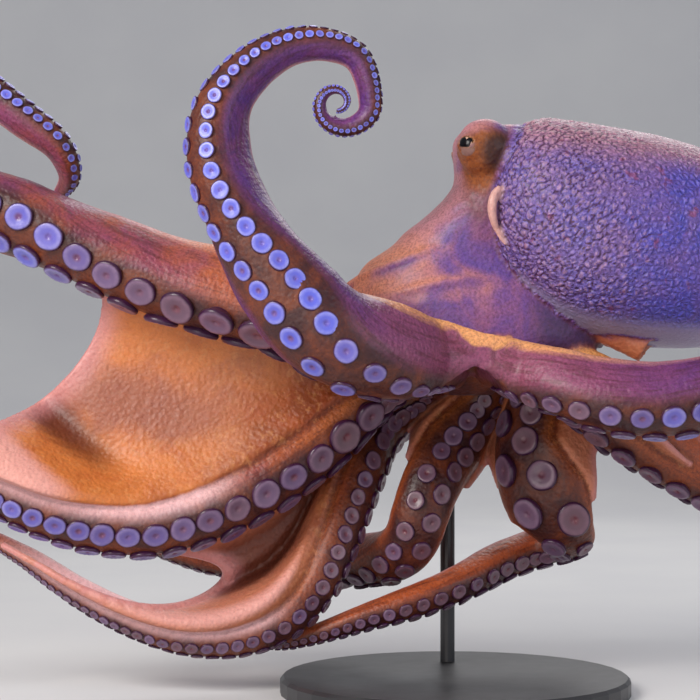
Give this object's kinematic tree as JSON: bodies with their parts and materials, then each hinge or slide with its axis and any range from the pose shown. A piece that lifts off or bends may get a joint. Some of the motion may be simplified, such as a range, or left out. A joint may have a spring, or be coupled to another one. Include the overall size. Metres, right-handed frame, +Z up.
{
  "type": "octopus model",
  "caption": "Life-size still model of a common octopus swimming with curled and trailing arms, on a round stand with one rod.",
  "frame": {"origin": "centre of the underside of the stand's base", "axes": "+X towards the tip of the mantle, +Y towards the animal's right side, +Z up"},
  "size_m": [0.6855, 0.2552, 0.4007],
  "materials": {
    "arms": "wet, mottled orange brown and mauve, with pale violet suckers",
    "crown": "wet, orange brown",
    "webs": "wet, orange, with a pink rim",
    "mantle": "wet, pebbled, lavender grey",
    "head": "wet, violet and brown",
    "eye": "glossy",
    "stand": "satin black"
  },
  "bodies": {
    "root": {"arm_L1_1": "arms", "arm_L1_2": "arms", "arm_L1_3": "arms", "arm_L1_4": "arms", "arm_L1_5": "arms", "arm_L2_1": "arms", "arm_L2_2": "arms", "arm_L2_3": "arms", "arm_L2_4": "arms", "arm_L2_5": "arms", "arm_L2_6": "arms", "arm_L3_1": "arms", "arm_L3_2": "arms", "arm_L3_3": "arms", "arm_L3_4": "arms", "arm_L3_5": "arms", "arm_L4_1": "arms", "arm_L4_2": "arms", "arm_L4_3": "arms", "arm_L4_4": "arms", "arm_L4_5": "arms", "arm_R1_1": "arms", "arm_R1_2": "arms", "arm_R1_3": "arms", "arm_R1_4": "arms", "arm_R1_5": "arms", "arm_R2_1": "arms", "arm_R2_2": "arms", "arm_R2_3": "arms", "arm_R2_4": "arms", "arm_R2_5": "arms", "arm_R3_1": "arms", "arm_R3_2": "arms", "arm_R3_3": "arms", "arm_R3_4": "arms", "arm_R3_5": "arms", "arm_R4_1": "arms", "arm_R4_2": "arms", "arm_R4_3": "arms", "arm_R4_4": "arms", "arm_R4_5": "arms", "arm_R4_6": "arms", "arm_crown": "crown", "eye_left": "eye", "eye_right": "eye", "funnel": "head", "head": "head", "mantle": "mantle", "stand_base": "stand", "stand_rod": "stand", "web_L1_L2": "webs", "web_L2_L3": "webs", "web_L3_L4": "webs", "web_L4_R4": "webs", "web_R1_L1": "webs", "web_R2_R1": "webs", "web_R3_R2": "webs", "web_R4_R3": "webs"}
  },
  "joints": []
}
